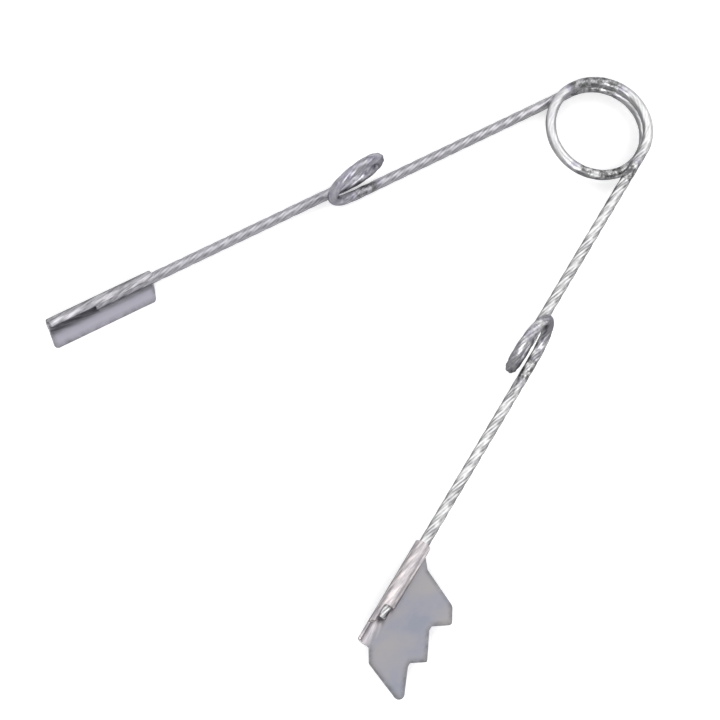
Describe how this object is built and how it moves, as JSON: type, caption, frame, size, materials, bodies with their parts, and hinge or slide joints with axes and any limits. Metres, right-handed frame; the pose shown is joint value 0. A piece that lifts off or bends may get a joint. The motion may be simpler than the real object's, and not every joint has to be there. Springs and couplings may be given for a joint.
{
  "type": "spring wire tongs",
  "caption": "V-shaped spring-wire tongs with a torsion coil at the apex, an upright eye on each arm, and crimped sheet-metal jaws, one plain and one toothed.",
  "frame": {"origin": "centre of the torsion coil at the apex, on its axis and half-way up its wire", "axes": "+X from the coil towards the jaws along the line that halves the V, +Z along the coil's axis towards the side that the eyes stand on, +Y completes the frame, so the toothed jaw's arm is on +Y and the plain jaw's arm is on -Y"},
  "size_m": [0.1189, 0.0933, 0.0167],
  "materials": {
    "spring_wire": "bright plated spring wire with faint drawing marks",
    "jaw_sheet": "satin plated sheet steel"
  },
  "bodies": {
    "left_arm": {"coil": "spring_wire", "left_inner_arm": "spring_wire", "left_eye": "spring_wire", "left_outer_arm": "spring_wire", "plain_jaw": "jaw_sheet"},
    "right_arm": {"right_inner_arm": "spring_wire", "right_eye": "spring_wire", "right_outer_arm": "spring_wire", "toothed_jaw": "jaw_sheet"}
  },
  "joints": [
    {"name": "arms_close", "type": "hinge", "parent": "left_arm", "child": "right_arm", "pos_m": [0, 0, 0], "axis": [0, 0, -1], "range_deg": [-12, 38], "stiffness_Nm_per_rad": 1.87, "deforming": ["coil"]}
  ]
}
